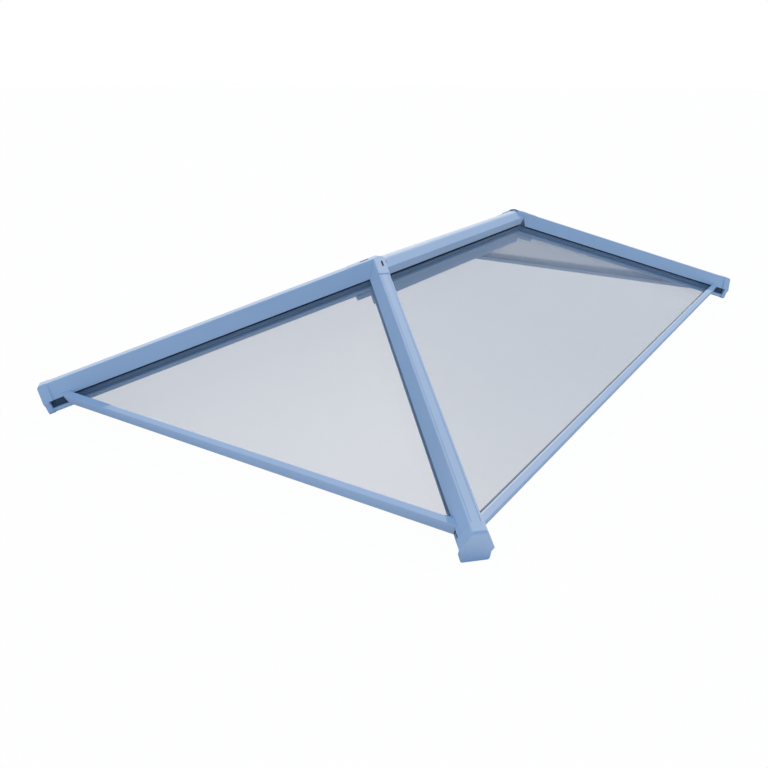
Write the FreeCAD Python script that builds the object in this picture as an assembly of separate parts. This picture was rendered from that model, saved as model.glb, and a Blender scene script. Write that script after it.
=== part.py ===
import FreeCAD, Part
import math
import os

# Fixed hipped roof lantern in slim aluminium bars. Sizes in millimetres.
# The origin is the middle of the footprint, level with the lowest edges of the four hip end caps.
# X runs along the ridge, Y across it and Z up. Front is -Y, left is -X.
V = FreeCAD.Vector
ROOT2 = math.sqrt(2.0)

# Overall form, measured between the outer top edges of the eaves
length = 2588.0
width = 1508.0
pitch_deg = 25.0

# Sealed glass units
pane = 4.0                 # each sheet of glass
cavity = 16.0              # space between the sheets
spacer_width = 12.0        # bar around the cavity
spacer_inset = 3.0         # from the edge of the glass to that bar
glass_bar_gap = 3.0        # from the edge of the glass to the web or wall of a bar

# Hip bars, sized in the section square to the bar. Heights are from the line where the glass planes meet.
hip_overhang = 26.2        # past the eaves corner, along the bar
cap_top = 45.8
cap_top_half = 17.0
cap_foot_half = 34.4
cap_wall = 2.5
cap_lip = 6.5
cap_seal = 3.3             # height of the seal at the outer edge of the cap
groove_in = 5.5            # from the edge of the cap's flat top
groove = 1.2
web_half = 7.0
ledge_inset = 2.5          # from the outer edge of the cap in to the edge of the ledge under the glass
rafter_drop = 48.8
rafter_half = 27.0         # at its foot; it tapers from the ledge
rafter_wall = 3.0
rafter_round = 6.0
cap_round = 4.5            # upper edges of the hip caps
edge_round = 2.0           # other outer edges
foot_round = 1.0           # lower edges of the caps
cap_back = 24.0            # upper end of each hip cap, short of the ridge cap

# Moulded end caps and ridge-end covers, which sleeve over the cap extrusions
cover = 1.5
end_plate = 18.0
end_crown = 9.0            # rounding along the top of the end face
end_toe = 1.5              # rounding along its foot
end_sleeve = 32.0
end_flare = 6.6            # shoulder past the foot of the cap, each side
end_step = 13.0            # height of the slope under the shoulder
end_over = 3.2             # past each side of the rafter
end_under = 0.7            # below the rafter
end_round = 9.0
shoulder_round = 3.0
cover_reach = 90.0         # along each hip from the ridge end
cover_skirt = 12.0
cover_on_ridge = 12.0
slot_from = 18.0           # open slot in the top of each cover arm, on the ridge side
slot_long = 28.0
slot_wide = 4.0
slot_in = 12.5             # from the edge of the arm's flat top to the middle of the slot

# Ridge
ridge_top = 41.4
ridge_top_half = 13.0
ridge_round = 26.0
ridge_fold_half = 46.0
ridge_fold = 18.8
ridge_foot_half = 35.0
ridge_seal = 6.0
ridge_depth = 88.0
ridge_body_half = 25.0
ridge_ledge = 9.0
boss_reach = 97.0
boss_drop = 15.2
boss_inset = 1.9           # inside each side of the rafter

# Eaves. The bead lies parallel to the glass and the outer face stands square to it.
bead_width = 21.6
bead_height = 13.1         # top of the bead above the glass
bead_seal = 3.5
bead_round = 4.5           # upper edge on the glass side
eaves_face = 38.8          # whole outer face, bead and bar together
eaves_wall = 4.0
eaves_seat = 46.0          # level, from the outer top edge to the inner end of the bar
eaves_skin = 3.3

joint = 0.3                # scribed gap where one bar meets another
seal_set = 1.0             # from the edge of a bar in to its seal

pitch = math.radians(pitch_deg)
rise = math.tan(pitch)
hip = math.atan(rise / ROOT2)
fall = math.sin(hip)                       # fall of the glass per unit across, in the hip section
glass = 2.0 * pane + cavity
hip_glass = glass * math.hypot(1.0, fall)  # glass thickness measured up the hip section
eaves_glass = glass / math.cos(pitch)      # glass thickness measured plumb
glass_edge = eaves_wall + glass_bar_gap    # up the slope, from the outer face of the eaves to the glass
glass_eaves_edge = bead_height * math.sin(pitch) + glass_edge * math.cos(pitch)
ledge_half = cap_foot_half - ledge_inset
end_half = ledge_half + end_over
end_drop = rafter_drop + end_under
boss_half = ledge_half - boss_inset
cap_foot = cap_seal - cap_foot_half * fall
ridge_foot = ridge_seal - ridge_foot_half * rise
plate_at = hip_overhang - end_plate
z_arris = hip_overhang * math.sin(hip) + end_drop * math.cos(hip)
z_apex = z_arris + width / 2.0 * rise
x_end = (length - width) / 2.0
hip_run = width / ROOT2 / math.cos(hip)    # hip from eaves corner to ridge end, along the bar
reach = 2.0 * length
past = 2.0 * cap_foot_half + 2.0 * cover   # run of a bar past the ridge end, before it is mitred

CORNERS = {"front_left": (-1, -1), "front_right": (1, -1), "back_left": (-1, 1), "back_right": (1, 1)}
SIDES = {"front": (0, -1), "back": (0, 1), "left": (-1, 0), "right": (1, 0)}


# Sections

def offset_path(points, gap):
    """An open run of straight lines moved sideways by gap, to the left of its direction when gap is positive"""
    lines = []
    for (ax, ay), (bx, by) in zip(points[:-1], points[1:]):
        size = math.hypot(bx - ax, by - ay)
        nx = -(by - ay) / size * gap
        ny = (bx - ax) / size * gap
        lines.append(((ax + nx, ay + ny), (bx + nx, by + ny)))
    moved = [lines[0][0]]
    for (a, b), (c, d) in zip(lines[:-1], lines[1:]):
        ux, uy = b[0] - a[0], b[1] - a[1]
        wx, wy = d[0] - c[0], d[1] - c[1]
        t = ((c[0] - a[0]) * wy - (c[1] - a[1]) * wx) / (ux * wy - uy * wx)
        moved.append((a[0] + t * ux, a[1] + t * uy))
    moved.append(lines[-1][1])
    return moved


def ends_at(points, height):
    """The same run with its last line lengthened or shortened to end at a height"""
    (ax, ay), (bx, by) = points[-2:]
    t = (height - ay) / (by - ay)
    return points[:-1] + [(ax + t * (bx - ax), height)]


def both_sides(right):
    """A closed section from its right half, listed from the top down"""
    return list(right) + [(-p[0],) + tuple(p[1:]) for p in reversed(right)]


def prism(points, origin, across, up, run):
    """A bar with the closed section given as (across, up, corner radius), carried along run"""
    corners = [(V(p[0], p[1], 0.0), p[2] if len(p) > 2 else 0.0) for p in points]
    count = len(corners)
    starts, ends, mids = [], [], []
    for i, (p, r) in enumerate(corners):
        to_last = (corners[i - 1][0] - p).normalize()
        to_next = (corners[(i + 1) % count][0] - p).normalize()
        half = to_last.getAngle(to_next) / 2.0
        if r <= 0.0:
            starts.append(p)
            ends.append(p)
            mids.append(None)
            continue
        starts.append(p + to_last * (r / math.tan(half)))
        ends.append(p + to_next * (r / math.tan(half)))
        mids.append(p + (to_last + to_next).normalize() * (r / math.sin(half) - r))

    def place(q):
        return origin + across * q.x + up * q.y

    edges = []
    for i in range(count):
        if mids[i] is not None:
            edges.append(Part.Arc(place(starts[i]), place(mids[i]), place(ends[i])).toShape())
        after = starts[(i + 1) % count]
        if (after - ends[i]).Length > 1e-6:
            edges.append(Part.makeLine(place(ends[i]), place(after)))
    return Part.Face(Part.Wire(edges)).extrude(run)


def beyond(shape, point, normal):
    """What is left of a shape once everything on the normal's side of a plane is taken off"""
    block = Part.makeBox(2.0 * reach, 2.0 * reach, reach, V(-reach, -reach, 0.0))
    block.Placement = FreeCAD.Placement(point, FreeCAD.Rotation(V(0, 0, 1), normal))
    return shape.cut(block)


def largest(shape):
    return max(shape.Solids, key=lambda s: s.Volume)


def scribed(shape, rooms):
    """A bar cut to butt against the bars that cross its ends"""
    for room in rooms:
        shape = largest(shape.cut(room))
    return shape


# Frames of the bars

def hip_frame(corner):
    """Eaves corner of a hip, and the directions across, up and down along its bar"""
    sx, sy = corner
    along = V(sx * math.cos(hip) / ROOT2, sy * math.cos(hip) / ROOT2, -math.sin(hip))
    up = V(sx * math.sin(hip) / ROOT2, sy * math.sin(hip) / ROOT2, math.cos(hip))
    return V(sx * length / 2.0, sy * width / 2.0, z_arris), up.cross(along), up, along


def hip_bar(corner, section, start, stop):
    """A section carried down a hip from start to stop, both measured along the bar past the eaves corner"""
    foot, across, up, along = hip_frame(corner)
    return prism(section, foot + along * start, across, up, along * (stop - start))


def end_face(corner):
    """A block across the end of a hip, flat in front and rounded along its top and its foot"""
    foot, across, up, along = hip_frame(corner)
    side_view = [(plate_at, -end_drop), (hip_overhang, -end_drop, end_toe),
                 (hip_overhang, cap_top + cover, end_crown), (plate_at, cap_top + cover)]
    wide = 2.0 * cap_foot_half
    return prism(side_view, foot - across * wide, along, up, across * (2.0 * wide))


def ridge_bar(section, from_x, to_x):
    return prism(section, V(from_x, 0, z_apex), V(0, 1, 0), V(0, 0, 1), V(to_x - from_x, 0, 0))


def mitre_normal(corner):
    """Normal, towards the hip, of the plumb plane that halves the angle between a hip and the ridge"""
    return V(corner[0] * (1.0 + 1.0 / ROOT2), corner[1] / ROOT2, 0.0).normalize()


def mitred(shape, corner, gap, back=0.0):
    """A hip bar mitred against its fellow hip and against the ridge, or held back from the ridge"""
    fellow = V(0, -corner[1], 0)
    ridge = mitre_normal(corner) * -1.0
    shape = beyond(shape, fellow * (-gap / 2.0), fellow)
    return beyond(shape, V(corner[0] * x_end, 0, 0) - ridge * (gap / 2.0 + back), ridge)


def off_hips(shape, gap):
    """A ridge bar mitred against the hips at both of its ends"""
    for corner in CORNERS.values():
        normal = mitre_normal(corner)
        shape = beyond(shape, V(corner[0] * x_end, 0, 0) - normal * (gap / 2.0), normal)
    return shape


def eaves_bar(side, section):
    """A section of (inward, up) points carried the whole length of one side of the eaves"""
    nx, ny = side
    half = (length if nx == 0 else width) / 2.0
    along = V(-ny, nx, 0)
    origin = V(nx * length / 2.0, ny * width / 2.0, z_arris) - along * half
    return prism(section, origin, V(-nx, -ny, 0), V(0, 0, 1), along * (2.0 * half))


def glass_plate(side, eaves, hips, ridge, depth, thick):
    """A flat sheet in one slope, its edges at level distances from the eaves, the hips and the ridge"""
    nx, ny = side
    half = (length if nx == 0 else width) / 2.0
    run = width / 2.0 - (ridge if nx == 0 else hips * ROOT2)
    out = V(nx, ny, 0)
    along = V(-ny, nx, 0)
    inward = V(-nx * math.sin(pitch), -ny * math.sin(pitch), -math.cos(pitch))
    foot = V(nx * length / 2.0, ny * width / 2.0, z_arris) + inward * depth

    def at(t, d):
        return foot + along * t - out * d + V(0, 0, d * rise)

    low = half - eaves - hips * ROOT2
    high = half - run - hips * ROOT2
    points = [at(-low, eaves), at(low, eaves)]
    if high > 1e-6:
        points += [at(high, run), at(-high, run)]
    else:
        points += [at(0.0, run)]
    return Part.Face(Part.makePolygon(points + points[:1])).extrude(inward * thick)


# Hip sections
cap_skin = [(0.0, cap_top), (cap_top_half, cap_top), (cap_foot_half, cap_foot)]
cap_inside = ends_at(offset_path(cap_skin, -cap_wall), cap_foot + cap_wall)
sleeve_skin = ends_at(offset_path(cap_skin, cover), cap_foot)
shoulder = (cap_foot_half + end_flare, cap_foot)
sleeve_round = cap_round + cover
groove_at = cap_top_half - groove_in
cap_section = both_sides([
    (groove_at - groove, cap_top), (groove_at - groove, cap_top - groove),
    (groove_at, cap_top - groove), (groove_at, cap_top),
    cap_skin[1] + (cap_round,), cap_skin[2] + (foot_round,),
    (cap_foot_half - cap_lip, cap_foot), (cap_foot_half - cap_lip, cap_foot + cap_wall),
    cap_inside[2], cap_inside[1]])
cap_solid = both_sides([cap_skin[1] + (cap_round,), cap_skin[2]])
sleeve_solid = both_sides([sleeve_skin[1] + (sleeve_round,), shoulder + (shoulder_round,)])


def seat(across):
    """Height of the ledge that carries the glass, in the hip section"""
    return -across * fall - hip_glass


nose = cap_top - cap_wall
rafter_section = both_sides([
    (web_half, nose), (web_half, seat(web_half)), (ledge_half, seat(ledge_half), foot_round),
    (rafter_half, -rafter_drop, rafter_round)])
hollow_half = rafter_half - rafter_wall - 1.0
hollow_skin = rafter_wall * math.hypot(1.0, fall)
rafter_hollow = both_sides([
    (0.5, seat(0.5) - hollow_skin), (hollow_half, seat(hollow_half) - hollow_skin),
    (hollow_half, rafter_wall - rafter_drop)])
seal_in = cap_foot_half - cap_lip + seal_set / 2.0
seal_out = cap_foot_half - seal_set
seal_section = [
    (seal_in, cap_foot), (seal_out, cap_foot), (seal_out, -seal_out * fall), (seal_in, -seal_in * fall)]
plate_section = both_sides([
    sleeve_skin[1] + (sleeve_round,), shoulder + (shoulder_round,),
    (end_half, cap_foot - end_step, shoulder_round), (end_half, -end_drop, end_round)])

# The room a hip takes out of the eaves
scribe = offset_path(cap_skin, joint)
notch = cap_foot - cap_seal
hip_room = both_sides([
    (scribe[1][0], cap_top + cover), (scribe[1][0], scribe[1][1]), ends_at(scribe, cap_foot)[2],
    (ends_at(scribe, cap_foot)[2][0], notch), (ledge_half + joint, notch), (ledge_half + joint, -2.0 * end_drop)])

# Ridge sections
ridge_skin = [
    (0.0, ridge_top), (ridge_top_half, ridge_top), (ridge_fold_half, ridge_fold), (ridge_foot_half, ridge_foot)]
ridge_inside = ends_at(offset_path(ridge_skin, -cap_wall), ridge_foot + cap_wall)
ridge_cap_section = both_sides([
    ridge_skin[1] + (ridge_round,), ridge_skin[2] + (edge_round,), ridge_skin[3] + (foot_round,),
    (ridge_foot_half - cap_lip, ridge_foot), (ridge_foot_half - cap_lip, ridge_foot + cap_wall),
    ridge_inside[3], ridge_inside[2], ridge_inside[1]])
ridge_solid = both_sides([p + (0.0,) for p in ridge_skin[1:]])
ridge_sleeve = ends_at(offset_path(ridge_skin, cover)[:3], ridge_top - cover_skirt)


def ridge_seat(across):
    """Height of the ledge that carries the glass, in the ridge section"""
    return -across * rise - eaves_glass


ridge_step = ridge_seat(ledge_half) - ridge_ledge
ridge_section = both_sides([
    (web_half, ridge_top - cap_wall), (web_half, ridge_seat(web_half)),
    (ledge_half, ridge_seat(ledge_half), foot_round), (ledge_half, ridge_step),
    (ridge_body_half, ridge_step - (ledge_half - ridge_body_half)),
    (ridge_body_half, -ridge_depth, rafter_round)])
ridge_hollow_half = ridge_body_half - rafter_wall
ridge_hollow = both_sides([
    (0.5, ridge_seat(0.5) - eaves_skin), (ridge_hollow_half, ridge_seat(ridge_hollow_half) - eaves_skin),
    (ridge_hollow_half, rafter_wall - ridge_depth)])
ridge_seal_in = ridge_foot_half - cap_lip + seal_set / 2.0
ridge_seal_out = ridge_foot_half - seal_set
ridge_seal_section = [
    (ridge_seal_in, ridge_foot), (ridge_seal_out, ridge_foot),
    (ridge_seal_out, -ridge_seal_out * rise), (ridge_seal_in, -ridge_seal_in * rise)]

# Eaves sections, as (inward, up)

def on_slope(along, square):
    """Place of a point measured up the slope from the outer face of the eaves, and square to the glass"""
    edge = bead_height * math.sin(pitch)
    return (edge + along * math.cos(pitch) - square * math.sin(pitch),
            edge * rise + along * math.sin(pitch) + square * math.cos(pitch))


def eaves_top(inward):
    """Height of the sloping seat under the glass"""
    return inward * rise - eaves_glass


bead_section = [
    on_slope(0.0, bead_seal), on_slope(0.0, bead_height) + (edge_round,),
    on_slope(bead_width, bead_height) + (bead_round,), on_slope(bead_width, bead_seal) + (foot_round,)]
eaves_foot = on_slope(0.0, bead_height - eaves_face)
eaves_depth = -eaves_foot[1]
bar_section = [
    on_slope(0.0, bead_seal), on_slope(eaves_wall, bead_seal), on_slope(eaves_wall, -glass),
    (eaves_seat, eaves_top(eaves_seat), foot_round), (eaves_seat, -eaves_depth, foot_round),
    eaves_foot + (foot_round,)]
chamber_in = eaves_seat - eaves_skin
chamber_out = (eaves_glass + 2.0 * eaves_skin - eaves_depth) / rise + 1.0
bar_hollow = [
    (chamber_out, eaves_top(chamber_out) - eaves_skin), (chamber_in, eaves_top(chamber_in) - eaves_skin),
    (chamber_in, eaves_skin - eaves_depth), (chamber_out, eaves_skin - eaves_depth)]
eaves_seal_out = glass_edge + seal_set
eaves_seal_in = bead_width - seal_set
eaves_seal_section = [
    on_slope(eaves_seal_out, bead_seal), on_slope(eaves_seal_in, bead_seal),
    on_slope(eaves_seal_in, 0.0), on_slope(eaves_seal_out, 0.0)]

# Edges of the glass, level distances on its outer face
hip_edge = web_half + glass_bar_gap + glass * fall / math.hypot(1.0, fall)
ridge_edge = web_half + glass_bar_gap + glass * math.sin(pitch)

nodes = {}

# Hip bars
seal_low = -(cap_foot_half + glass_eaves_edge * ROOT2 + cap_lip) / math.cos(hip)
seal_high = 2.0 * cap_foot_half - hip_run
hip_seals = []
for name, corner in CORNERS.items():
    rafter = hip_bar(corner, rafter_section, -hip_run - past, plate_at)
    rafter = rafter.cut(hip_bar(corner, rafter_hollow, -hip_run - past, plate_at))
    nodes["hip_rafter_" + name] = largest(mitred(rafter, corner, joint))
    cap = hip_bar(corner, cap_section, -hip_run - past, plate_at)
    nodes["hip_cap_" + name] = largest(mitred(cap, corner, joint, cap_back))
    sleeve = hip_bar(corner, sleeve_solid, hip_overhang - end_sleeve, plate_at)
    sleeve = sleeve.cut(hip_bar(corner, cap_solid, hip_overhang - 2.0 * end_sleeve, hip_overhang))
    plate = hip_bar(corner, plate_section, plate_at, hip_overhang).common(end_face(corner))
    nodes["hip_end_cap_" + name] = largest(sleeve.fuse(plate).removeSplitter())
    for hand in (1, -1):
        strip = [(hand * a, b) for a, b in seal_section]
        hip_seals.append(hip_bar(corner, strip, seal_high, seal_low))
nodes["hip_seals"] = Part.makeCompound(hip_seals)

# Ridge
ridge_long = x_end + past
cap_end = x_end + ridge_fold_half - ridge_foot_half
beam = ridge_bar(ridge_section, -ridge_long, ridge_long)
beam = beam.cut(ridge_bar(ridge_hollow, -ridge_long, ridge_long))
nodes["ridge_beam"] = largest(off_hips(beam, joint))
cap_room = both_sides([scribe[1], ends_at(scribe, cap_foot)[2], (scribe[2][0], -2.0 * cap_foot_half)])
rooms = [mitred(hip_bar(c, cap_room, -hip_run - past, 0.0), c, 0.0) for c in CORNERS.values()]
nodes["ridge_cap"] = scribed(ridge_bar(ridge_cap_section, -cap_end, cap_end), rooms)
seal_end = x_end - ridge_foot_half
nodes["ridge_seals"] = Part.makeCompound([
    ridge_bar([(hand * a, b) for a, b in ridge_seal_section], -seal_end, seal_end) for hand in (1, -1)])

# Ridge-end covers outside, and the bosses under them inside
cover_section = both_sides([sleeve_skin[1] + (sleeve_round,), ends_at(sleeve_skin, cap_top - cover_skirt)[2]])
ridge_cover_section = both_sides([p + (0.0,) for p in ridge_sleeve[1:]])
slot_at = sleeve_skin[1][0] - slot_in
boss_section = both_sides([(boss_half, -rafter_drop), (boss_half, -rafter_drop - boss_drop, rafter_round)])
for hand, sx in (("left", -1), ("right", 1)):
    shells, blocks = [], []
    for corner in ((sx, -1), (sx, 1)):
        towards = corner[0] * corner[1]
        slot = [(towards * (slot_at + a * slot_wide / 2.0), b)
                for a, b in ((-1, cap_top), (1, cap_top), (1, cap_top + 2.0 * cover), (-1, cap_top + 2.0 * cover))]
        arm = hip_bar(corner, cover_section, -hip_run - past, cover_reach - hip_run)
        arm = arm.cut(hip_bar(corner, cap_solid, -hip_run - 2.0 * past, 0.0))
        arm = arm.cut(hip_bar(corner, slot, slot_from - hip_run, slot_from + slot_long - hip_run))
        shells.append(mitred(arm, corner, 0.0))
        block = hip_bar(corner, boss_section, -hip_run - past, boss_reach - hip_run)
        blocks.append(mitred(block, corner, 0.0))
    stub = ridge_bar(ridge_cover_section, sx * (x_end - cover_on_ridge), sx * ridge_long)
    shells.append(off_hips(stub, 0.0))
    shell = shells[0].fuse(shells[1:]).cut(ridge_bar(ridge_solid, 0.0, sx * cap_end))
    nodes["ridge_end_cover_" + hand] = largest(shell.removeSplitter())
    nodes["ridge_end_boss_" + hand] = blocks[0].fuse(blocks[1]).removeSplitter()

# Eaves
eaves_seals = []
for name, side in SIDES.items():
    rooms = [hip_bar(c, hip_room, -0.3 * hip_run, 2.0 * hip_overhang)
             for c in CORNERS.values() if c[0] * side[0] + c[1] * side[1] > 0]
    bar = scribed(eaves_bar(side, bar_section), rooms)
    nodes["eaves_bar_" + name] = largest(bar.cut(eaves_bar(side, bar_hollow)))
    nodes["eaves_bead_" + name] = scribed(eaves_bar(side, bead_section), rooms)
    eaves_seals.append(scribed(eaves_bar(side, eaves_seal_section), rooms))
nodes["eaves_seals"] = Part.makeCompound(eaves_seals)

# Sealed units, one in each slope
level = math.cos(pitch)
square = 1.0 / math.hypot(1.0, fall)
for name, side in SIDES.items():
    edges = (glass_eaves_edge, hip_edge, ridge_edge)
    nodes["glass_outer_" + name] = glass_plate(side, *edges, 0.0, pane)
    nodes["glass_inner_" + name] = glass_plate(side, *edges, pane + cavity, pane)
    rims = []
    for inset in (spacer_inset, spacer_inset + spacer_width):
        moved = (edges[0] + inset * level, edges[1] + inset * square, edges[2] + inset * level)
        rims.append(glass_plate(side, *moved, pane, cavity))
    nodes["glass_spacer_" + name] = rims[0].cut(rims[1])

os.makedirs("parts", exist_ok=True)
for name, shape in nodes.items():
    shape.exportStep("parts/" + name + ".step")
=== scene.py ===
import math

import bpy
import numpy as np
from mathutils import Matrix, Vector


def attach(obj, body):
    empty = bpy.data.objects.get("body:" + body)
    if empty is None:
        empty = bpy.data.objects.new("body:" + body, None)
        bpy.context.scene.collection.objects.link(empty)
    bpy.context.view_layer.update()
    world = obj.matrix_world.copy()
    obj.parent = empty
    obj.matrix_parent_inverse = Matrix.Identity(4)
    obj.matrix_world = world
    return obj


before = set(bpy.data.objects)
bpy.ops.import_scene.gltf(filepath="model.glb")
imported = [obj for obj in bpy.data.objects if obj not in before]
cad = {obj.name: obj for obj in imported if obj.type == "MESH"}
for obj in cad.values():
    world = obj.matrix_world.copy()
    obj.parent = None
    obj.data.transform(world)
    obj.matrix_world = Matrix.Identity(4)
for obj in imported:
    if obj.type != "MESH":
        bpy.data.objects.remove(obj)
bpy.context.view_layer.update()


# Inner bars: hip rafters, ridge beam and bosses
# Aluminium extrusions that carry the glass from below, mitred under the ridge ends and bolted to two bosses.
# Their powder coat is painted a shade paler than the blue outside: painted light that lifts these bars where they sit
# in shade under the glass.

def finish_of(name):
    """A new material with one principled surface; gives the material, its tree, the surface and object coordinates"""
    material = bpy.data.materials.new(name)
    material.use_nodes = True
    tree = material.node_tree
    surface = tree.nodes["Principled BSDF"]
    place = tree.nodes.new("ShaderNodeTexCoord").outputs["Object"]
    return material, tree, surface, place


def mottle(tree, place, size, detail=3.0):
    """Soft cloudy pattern with features about size metres across, as a value from 0 to 1"""
    noise = tree.nodes.new("ShaderNodeTexNoise")
    noise.inputs["Scale"].default_value = 1.0 / size
    noise.inputs["Detail"].default_value = detail
    tree.links.new(place, noise.inputs["Vector"])
    return noise.outputs["Fac"]


def tint_between(tree, value, dark, light, low=0.3, high=0.7):
    """Colour that runs from dark to light as the value goes from low to high"""
    ramp = tree.nodes.new("ShaderNodeValToRGB")
    ramp.color_ramp.elements[0].position = low
    ramp.color_ramp.elements[1].position = high
    ramp.color_ramp.elements[0].color = (*dark, 1.0)
    ramp.color_ramp.elements[1].color = (*light, 1.0)
    tree.links.new(value, ramp.inputs["Fac"])
    return ramp.outputs["Color"]


def number_between(tree, value, low, high, start=0.0, end=1.0):
    """The value stretched to run from low to high as it goes from start to end"""
    span = tree.nodes.new("ShaderNodeMapRange")
    span.inputs["From Min"].default_value = start
    span.inputs["From Max"].default_value = end
    span.inputs["To Min"].default_value = low
    span.inputs["To Max"].default_value = high
    tree.links.new(value, span.inputs["Value"])
    return span.outputs["Result"]


def dimpled(tree, surface, value, strength, depth):
    """Bump on the surface from a value"""
    bump = tree.nodes.new("ShaderNodeBump")
    bump.inputs["Strength"].default_value = strength
    bump.inputs["Distance"].default_value = depth
    tree.links.new(value, bump.inputs["Height"])
    tree.links.new(bump.outputs["Normal"], surface.inputs["Normal"])


def powder_coat(name, colour, dull):
    """Matt powder coat: slight drift of tint over a third of a metre, finer cloud in the gloss, and orange peel"""
    drift_size, cloud_size, peel_size = 0.35, 0.03, 0.0016
    gloss_spread = 0.08
    peel_strength, peel_depth = 0.12, 0.00015
    material, tree, surface, place = finish_of(name)
    darker = tuple(0.95 * c for c in colour)
    tint = tint_between(tree, mottle(tree, place, drift_size), darker, colour)
    tree.links.new(tint, surface.inputs["Base Color"])
    cloud = mottle(tree, place, cloud_size)
    tree.links.new(number_between(tree, cloud, dull - gloss_spread, dull + gloss_spread), surface.inputs["Roughness"])
    dimpled(tree, surface, mottle(tree, place, peel_size, 2.0), peel_strength, peel_depth)
    surface.inputs["Specular IOR Level"].default_value = 0.04
    return material


def dress(material, *starts):
    """Gives a material to every CAD node whose name begins with one of the words"""
    for node, piece in cad.items():
        if node.startswith(starts):
            piece.data.materials.clear()
            piece.data.materials.append(material)


# Paler than the outer coat as painted light, lifting the inner bars where they sit in shade
inner_blue_painted_light = (0.82, 0.88, 0.95)
dress(powder_coat("inner_bar_coat_painted_light", inner_blue_painted_light, 0.66), "hip_rafter", "ridge_beam", "ridge_end_boss")


# Eaves bars and beads
# The bars sit on the upstand all round; the sloping beads clip into them and press the glass down on its seals.
# Both are coated extrusions, sawn to fit against the sides of the hips.
pale_blue = (0.68, 0.75, 0.86)
dress(powder_coat("eaves_coat", pale_blue, 0.64), "eaves_bar", "eaves_bead")


# Sealed glass units
# Two 4 mm sheets held apart by a grey spacer bar and sealed round the edge.
# The outer sheet has a faint blue-grey film that throws back some of the sky.
def window_glass(name):
    """Clear sheet: mostly let through, with a thin blue-grey film that throws back more of the sky at a slant"""
    veil_size, smear_size = 0.5, 0.08
    film_dark, film_light = (0.26, 0.34, 0.45), (0.31, 0.395, 0.51)
    clean, smeared = 0.03, 0.09
    film_square_on, film_slanted = 0.11, 0.26
    square_on, slanted = 0.27, 0.90
    material, tree, surface, place = finish_of(name)
    veil = mottle(tree, place, veil_size, 4.0)
    tree.links.new(tint_between(tree, veil, film_dark, film_light), surface.inputs["Base Color"])
    smear = mottle(tree, place, smear_size)
    tree.links.new(number_between(tree, smear, clean, smeared), surface.inputs["Roughness"])
    slant = tree.nodes.new("ShaderNodeLayerWeight")
    slant.inputs["Blend"].default_value = 0.5
    film = number_between(tree, slant.outputs["Facing"], film_square_on, film_slanted, square_on, slanted)
    tree.links.new(film, surface.inputs["Alpha"])
    surface.inputs["IOR"].default_value = 1.52
    return material


def warm_edge(name):
    """Spacer bar: matt grey plastic, clouded a little by the dried grains inside"""
    grain_size, cloud_size = 0.01, 0.03
    grey_dark, grey_light = (0.165, 0.210, 0.275), (0.205, 0.255, 0.330)
    material, tree, surface, place = finish_of(name)
    tint = tint_between(tree, mottle(tree, place, grain_size), grey_dark, grey_light)
    tree.links.new(tint, surface.inputs["Base Color"])
    tree.links.new(number_between(tree, mottle(tree, place, cloud_size), 0.5, 0.7), surface.inputs["Roughness"])
    return material


dress(window_glass("unit_glass"), "glass_outer", "glass_inner")
dress(warm_edge("spacer_grey"), "glass_spacer")


# Glazing seals
# Strips of black rubber pushed into the feet of the caps and beads, so that they bear on the glass.
# They run the whole length of each bar and show as a fine dark line beside it.
def black_rubber(name, dark, light):
    """Matt black rubber or foam with a paler bloom in small clouds"""
    bloom_size = 0.02
    material, tree, surface, place = finish_of(name)
    tree.links.new(tint_between(tree, mottle(tree, place, bloom_size), dark, light), surface.inputs["Base Color"])
    surface.inputs["Roughness"].default_value = 0.8
    surface.inputs["Specular IOR Level"].default_value = 0.1
    return material


rubber = black_rubber("seal_rubber", (0.008, 0.014, 0.022), (0.018, 0.030, 0.044))
dress(rubber, "hip_seals", "ridge_seals", "eaves_seals")


# Slot packers
# Black foam blocks that close the glazing slots of the hips between the glass corners and the moulded ends; their
# dark colour is also painted shade for the shadowed mouths of the slots.
# They are cut from sheet as thick as the glass unit and pushed in a little behind the lips of the rafters.
half_length = 1.294
half_width = 0.754
corner_height = 0.055215
pitch = math.radians(25.0)
hip_pitch = math.atan(math.tan(pitch) / math.sqrt(2.0))
corners = {"front_left": (-1, -1), "front_right": (1, -1), "back_left": (-1, 1), "back_right": (1, 1)}


def hip_point(corner, along, across, up):
    """Points told from a hip's outer corner: so far down the hip, so far to its side and so far square out of it"""
    sx, sy = corners[corner]
    level = math.cos(hip_pitch) / math.sqrt(2.0)
    tilt = math.sin(hip_pitch) / math.sqrt(2.0)
    down = np.array((sx * level, sy * level, -math.sin(hip_pitch)))
    out = np.array((sx * tilt, sy * tilt, math.cos(hip_pitch)))
    side = np.cross(out, down)
    start = np.array((sx * half_length, sy * half_width, corner_height))
    return start + along[..., None] * down + across[..., None] * side + up[..., None] * out


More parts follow.
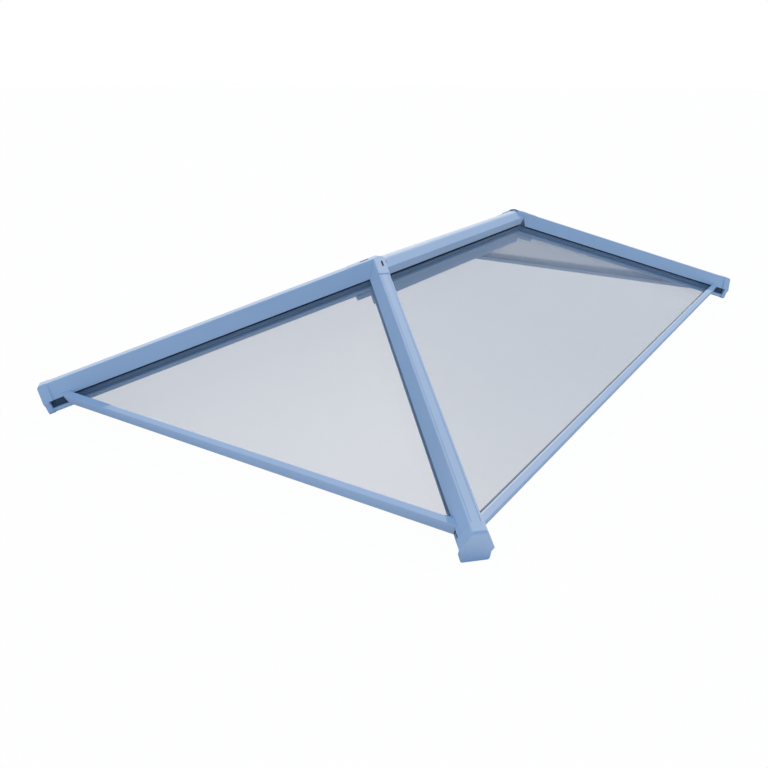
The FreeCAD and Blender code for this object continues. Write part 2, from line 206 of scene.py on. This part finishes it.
def rounded_block(name, place, square, rows=23, columns=48):
    """Closed block with softened edges: the cosines and sines of a sphere's two angles, raised to a small power with
    their signs kept and multiplied, give three numbers from -1 to 1, which place turns into points"""
    def pressed(value):
        return np.sign(value) * np.abs(value) ** square

    rise = (np.arange(1, rows + 1) / (rows + 1) - 0.5) * np.pi
    turn = np.arange(columns) / columns * 2.0 * np.pi
    belt = pressed(np.cos(rise))[:, None]
    s = np.append(belt * pressed(np.cos(turn)), (0.0, 0.0))
    t = np.append(belt * pressed(np.sin(turn)), (0.0, 0.0))
    r = np.append(np.repeat(pressed(np.sin(rise)), columns), (-1.0, 1.0))
    points = place(s, t, r)
    row, column = np.meshgrid(np.arange(rows - 1), np.arange(columns), indexing="ij")
    here = row * columns + column
    right = row * columns + (column + 1) % columns
    quads = np.stack((here, right, right + columns, here + columns), -1).reshape(-1, 4)
    ring = np.arange(columns)
    after = (ring + 1) % columns
    last = (rows - 1) * columns
    foot = np.stack((after, ring, np.full(columns, rows * columns)), -1)
    head = np.stack((ring + last, after + last, np.full(columns, rows * columns + 1)), -1)
    a, b, c = (points[quads[:, k]] - points.mean(0) for k in (0, 1, 2))
    order = 1 if (a * np.cross(b, c)).sum() > 0.0 else -1
    faces = [face[::order] for face in quads.tolist() + foot.tolist() + head.tolist()]
    mesh = bpy.data.meshes.new(name)
    mesh.from_pydata(points.tolist(), [], faces)
    mesh.polygons.foreach_set("use_smooth", np.ones(len(faces), dtype=bool))
    block = bpy.data.objects.new(name, mesh)
    bpy.context.scene.collection.objects.link(block)
    return block


slot_middle, slot_half_width = 0.0180, 0.0090
glass_end, glass_end_across, glass_end_slant = -0.0362, 0.020, 0.957
moulded_end = 0.0079
unit_middle, unit_half_depth = 0.0126, 0.0120
square_edge = 0.12
# Dark foam: it closes the slots, and its dark colour is also painted shade in the slot mouths
painted_shade_foam = black_rubber("packer_foam_painted_shade", (0.055, 0.080, 0.100), (0.100, 0.140, 0.170))
for corner in corners:
    for hand in (-1.0, 1.0):
        def in_slot(s, t, r):
            """Across from the web to just behind the lip, down from the slanting glass edge to the moulded end"""
            across = slot_middle + slot_half_width * t
            upper = glass_end - glass_end_slant * (across - glass_end_across)
            along = upper + (moulded_end - upper) * (s + 1.0) / 2.0
            depth = unit_middle + unit_half_depth * r
            up = -across * math.sin(hip_pitch) - depth * math.sqrt(1.0 + math.sin(hip_pitch) ** 2)
            return hip_point(corner, along, hand * across, up)

        packer = rounded_block("slot_packer_painted_shade_" + corner + ("_a" if hand < 0.0 else "_b"), in_slot, square_edge)
        packer.data.materials.append(painted_shade_foam)
        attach(packer, "root")


# Outer caps
# Hip and ridge caps are coated aluminium extrusions, cut to meet under the covers at the ridge ends.
# They clip over the webs of the inner bars and clamp the glass.
dress(powder_coat("cap_coat", pale_blue, 0.68), "hip_cap", "ridge_cap")


# Mouldings
# End caps on the hips and covers over the ridge ends are moulded, then coated to match the bars.
# Each arm of a cover has a narrow slit near the ridge, stopped by a thin bung of black rubber whose black is also
# painted shade for the slit.
dress(powder_coat("moulding_coat", pale_blue, 0.68), "hip_end_cap", "ridge_end_cover")
hip_run = half_width * math.sqrt(2.0) / math.cos(hip_pitch)
slit_middle, slit_half_length = 0.0320, 0.0150
slit_aside, bung_half_width = 0.0056, 0.0028
arm_face, bung_half_depth = 0.0476, 0.0003
soft_edge = 0.2
for corner, (sx, sy) in corners.items():
    def in_slit(s, t, r):
        """Down the hip over the slit, across it with a narrow rim and up from the face of the arm"""
        along = slit_middle + slit_half_length * s - hip_run
        across = sx * sy * slit_aside + bung_half_width * t
        return hip_point(corner, along, across, arm_face + bung_half_depth * r)

    # Black bung in each slit: a stop, and its black is also painted shade for the slit
    bung = rounded_block("slit_bung_painted_shade_" + corner, in_slit, soft_edge)
    bung.data.materials.append(rubber)
    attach(bung, "root")


# Floor, light and camera
# A plain white floor and surround, soft blue light from the sky and a low, warm sun from behind on the right.
# The camera stands where the photo was taken from, found from the eaves corners and ridge ends.
def seen_directly(tree):
    """1 for what the camera, a reflection or clear glass looks at, 0 for light that falls on things"""
    path = tree.nodes.new("ShaderNodeLightPath")
    total = path.outputs["Is Camera Ray"]
    for kind in ("Is Glossy Ray", "Is Transmission Ray"):
        both = tree.nodes.new("ShaderNodeMath")
        both.operation = "MAXIMUM"
        tree.links.new(total, both.inputs[0])
        tree.links.new(path.outputs[kind], both.inputs[1])
        total = both.outputs[0]
    return total


def white_when_seen(tree, lit, white, share, surface_input):
    """Mixes the lit surface with plain white by a share, for looks only"""
    part = tree.nodes.new("ShaderNodeMath")
    part.operation = "MULTIPLY"
    part.inputs[1].default_value = share
    tree.links.new(seen_directly(tree), part.inputs[0])
    mix = tree.nodes.new("ShaderNodeMixShader")
    tree.links.new(part.outputs[0], mix.inputs["Fac"])
    tree.links.new(lit, mix.inputs[1])
    tree.links.new(white, mix.inputs[2])
    tree.links.new(mix.outputs[0], surface_input)


plain_white = (1.0, 1.0, 1.0, 1.0)
world = bpy.data.worlds.new("surround")
world.use_nodes = True
sky = world.node_tree.nodes["Background"]
sky.inputs["Color"].default_value = (0.39, 0.640, 1.0, 1.0)
sky.inputs["Strength"].default_value = 0.68
plain = world.node_tree.nodes.new("ShaderNodeBackground")
plain.inputs["Color"].default_value = plain_white
white_when_seen(world.node_tree, sky.outputs[0], plain.outputs[0], 1.0,
                world.node_tree.nodes["World Output"].inputs["Surface"])
bpy.context.scene.world = world

floor_half = 40.0
floor_mesh = bpy.data.meshes.new("floor")
floor_mesh.from_pydata([(-floor_half, -floor_half, 0.0), (floor_half, -floor_half, 0.0),
                        (floor_half, floor_half, 0.0), (-floor_half, floor_half, 0.0)], [], [(0, 1, 2, 3)])
floor = bpy.data.objects.new("floor", floor_mesh)
bpy.context.scene.collection.objects.link(floor)
floor_paint = bpy.data.materials.new("floor_white")
floor_paint.use_nodes = True
floor_tree = floor_paint.node_tree
floor_tree.nodes.remove(floor_tree.nodes["Principled BSDF"])
matt = floor_tree.nodes.new("ShaderNodeBsdfDiffuse")
matt.inputs["Color"].default_value = (0.80, 0.81, 0.82, 1.0)
glow = floor_tree.nodes.new("ShaderNodeEmission")
glow.inputs["Color"].default_value = plain_white
floor_white_share = 0.98
white_when_seen(floor_tree, matt.outputs[0], glow.outputs[0], floor_white_share,
                floor_tree.nodes["Material Output"].inputs["Surface"])
floor_mesh.materials.append(floor_paint)

towards_sun = Vector((0.704, 0.473, 0.530))
sun = bpy.data.objects.new("sun", bpy.data.lights.new("sun", "SUN"))
sun.data.energy = 3.2
sun.data.color = (1.0, 0.82, 0.54)
sun.data.angle = math.radians(0.8)
sun.rotation_mode = "QUATERNION"
sun.rotation_quaternion = towards_sun.to_track_quat("Z", "Y")
bpy.context.scene.collection.objects.link(sun)

image_size = 768.0
film_width = 36.0
focal_pixels = 783.2
centre_x, centre_y = 382.73, 383.42
view_turn = math.radians(56.941)
view_drop = math.radians(22.059)
camera = bpy.data.objects.new("camera", bpy.data.cameras.new("camera"))
camera.data.sensor_width = film_width
camera.data.lens = film_width * focal_pixels / image_size
camera.data.shift_x = (image_size / 2.0 - centre_x) / image_size
camera.data.shift_y = (centre_y - image_size / 2.0) / image_size
camera.data.clip_end = 200.0
forward = Vector((math.sin(view_turn) * math.cos(view_drop), math.cos(view_turn) * math.cos(view_drop),
                  -math.sin(view_drop)))
camera.location = (-2.6552, -1.3959, 1.0323)
camera.rotation_mode = "QUATERNION"
camera.rotation_quaternion = forward.to_track_quat("-Z", "Y")
bpy.context.scene.collection.objects.link(camera)
bpy.context.scene.camera = camera
bpy.context.scene.view_settings.view_transform = "Standard"
